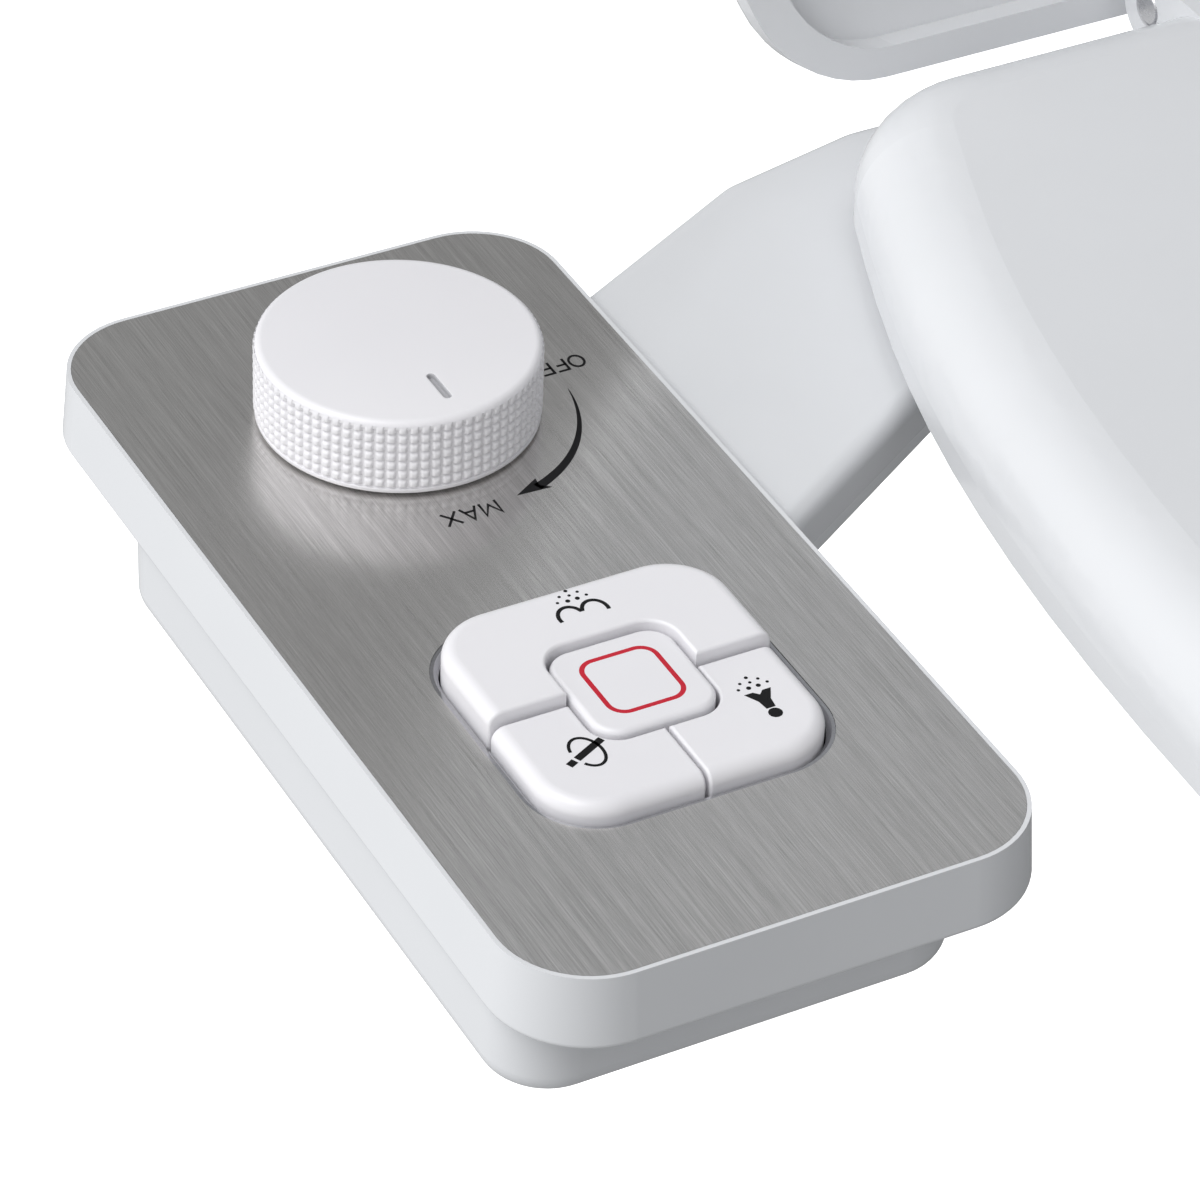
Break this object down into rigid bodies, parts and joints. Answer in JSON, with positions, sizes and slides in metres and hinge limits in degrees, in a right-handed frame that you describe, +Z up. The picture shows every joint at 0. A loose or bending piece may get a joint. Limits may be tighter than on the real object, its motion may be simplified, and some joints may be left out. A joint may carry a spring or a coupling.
{
  "type": "bidet seat",
  "caption": "Bidet seat with side control panel: ridged pressure knob, latching wash buttons, slim arm and plate, twin sliding nozzles behind a guard, seat ring and lid.",
  "frame": {"origin": "midway between the two seat bolts, on the plane of the mounting plate's underside, which lies on the bowl rim", "axes": "+X towards the plate's free end, so the control panel is at -X; -Y towards the front of the seat; +Z up"},
  "size_m": [0.4788, 0.6055, 0.5209],
  "materials": {
    "white_gloss": "gloss",
    "seat_white": "gloss",
    "brushed_plate": "brushed",
    "bright_trim": "polished",
    "red_ring": "gloss",
    "white_satin": "satin",
    "grey_plastic": "satin",
    "brass": "machined",
    "ceramic": "ground",
    "steel": "satin",
    "hose": "satin",
    "soft_rubber": "matte"
  },
  "bodies": {
    "mounting_base": {"control_housing_upper": "white_gloss", "control_housing_lower": "white_gloss", "face_plate": "brushed_plate", "button_bezel": "bright_trim", "button_guide": "grey_plastic", "button_valve_block": "grey_plastic", "valve_body": "grey_plastic", "valve_gland": "brass", "valve_disc_fixed": "ceramic", "inlet_fitting": "brass", "inlet_filter": "steel", "supply_channel": "grey_plastic", "feed_channel": "grey_plastic", "hose_left": "hose", "hose_clean": "hose", "hose_right": "hose", "arm_top_cover": "white_gloss", "arm_bottom_cover": "white_satin", "arm_screws": "steel", "grip_pads": "soft_rubber", "nozzle_housing": "white_satin", "nozzle_manifold": "grey_plastic", "guard_pin": "steel", "hinge_post_left": "white_satin", "hinge_post_right": "white_satin", "seat_bolt_left": "steel", "seat_bolt_right": "steel", "hinge_pin_left": "steel", "hinge_pin_right": "steel"},
    "pressure_knob": {"knob": "white_gloss", "knob_hub": "brass", "valve_stem": "brass", "valve_disc_turning": "ceramic"},
    "rear_wash_key": {"rear_button": "white_gloss", "rear_plunger": "grey_plastic", "rear_spring": "steel"},
    "front_wash_key": {"front_right_button": "white_gloss", "front_right_plunger": "grey_plastic", "front_right_spring": "steel"},
    "self_clean_key": {"front_left_button": "white_gloss", "front_left_plunger": "grey_plastic", "front_left_spring": "steel"},
    "stop_key": {"stop_button": "white_gloss", "stop_button_ring": "red_ring", "stop_plunger": "grey_plastic", "stop_spring": "steel"},
    "latch": {"latch_slide": "grey_plastic"},
    "rear_wand": {"rear_nozzle": "white_satin"},
    "front_wand": {"front_nozzle": "white_satin"},
    "guard": {"nozzle_guard": "white_satin"},
    "bolt_adjuster_left": {"adjuster_left": "white_satin"},
    "bolt_adjuster_right": {"adjuster_right": "white_satin"},
    "seat": {"seat_ring": "seat_white", "seat_bumpers": "soft_rubber"},
    "seat_lid": {"lid": "seat_white", "lid_bumpers": "soft_rubber"}
  },
  "joints": [
    {"name": "knob_turn", "type": "hinge", "parent": "mounting_base", "child": "pressure_knob", "pos_m": [-0.2472, -0.0215, 0.02], "axis": [0, 0, 1], "range_deg": [0, 90]},
    {"name": "rear_wash_press", "type": "slide", "parent": "mounting_base", "child": "rear_wash_key", "axis": [0, 0, -1], "range_m": [0, 0.0025], "stiffness_N_per_m": 600, "springref_m": -0.002, "deforming": ["rear_spring"]},
    {"name": "front_wash_press", "type": "slide", "parent": "mounting_base", "child": "front_wash_key", "axis": [0, 0, -1], "range_m": [0, 0.0025], "stiffness_N_per_m": 600, "springref_m": -0.002, "deforming": ["front_right_spring"]},
    {"name": "self_clean_press", "type": "slide", "parent": "mounting_base", "child": "self_clean_key", "axis": [0, 0, -1], "range_m": [0, 0.0025], "stiffness_N_per_m": 600, "springref_m": -0.002, "deforming": ["front_left_spring"]},
    {"name": "stop_press", "type": "slide", "parent": "mounting_base", "child": "stop_key", "axis": [0, 0, -1], "range_m": [0, 0.0025], "stiffness_N_per_m": 600, "springref_m": -0.002, "deforming": ["stop_spring"]},
    {"name": "latch_shift", "type": "slide", "parent": "mounting_base", "child": "latch", "axis": [1, 0, 0], "range_m": [0, 0.0025]},
    {"name": "rear_nozzle_slide", "type": "slide", "parent": "mounting_base", "child": "rear_wand", "axis": [0, -0.7071, -0.7071], "range_m": [0, 0.022], "stiffness_N_per_m": 20, "springref_m": -0.01},
    {"name": "front_nozzle_slide", "type": "slide", "parent": "mounting_base", "child": "front_wand", "axis": [0, -0.7071, -0.7071], "range_m": [0, 0.022], "stiffness_N_per_m": 20, "springref_m": -0.01},
    {"name": "guard_swing", "type": "hinge", "parent": "mounting_base", "child": "guard", "pos_m": [0, -0.09, 0.003], "axis": [-1, 0, 0], "range_deg": [0, 45]},
    {"name": "adjuster_left_turn", "type": "hinge", "parent": "mounting_base", "child": "bolt_adjuster_left", "pos_m": [-0.07, 0, 0.005], "axis": [0, 0, 1], "range_deg": [-90, 90]},
    {"name": "adjuster_right_turn", "type": "hinge", "parent": "mounting_base", "child": "bolt_adjuster_right", "pos_m": [0.07, 0, 0.005], "axis": [0, 0, 1], "range_deg": [-90, 90]},
    {"name": "seat_hinge", "type": "hinge", "parent": "mounting_base", "child": "seat", "pos_m": [0, 0.012, 0.026], "axis": [-1, 0, 0], "range_deg": [0, 98]},
    {"name": "lid_hinge", "type": "hinge", "parent": "mounting_base", "child": "seat_lid", "pos_m": [0, 0.012, 0.026], "axis": [-1, 0, 0], "range_deg": [-105, 0]}
  ],
  "couplings": [
    {"joint": "latch_shift", "follows": "stop_press", "ratio": 1}
  ]
}
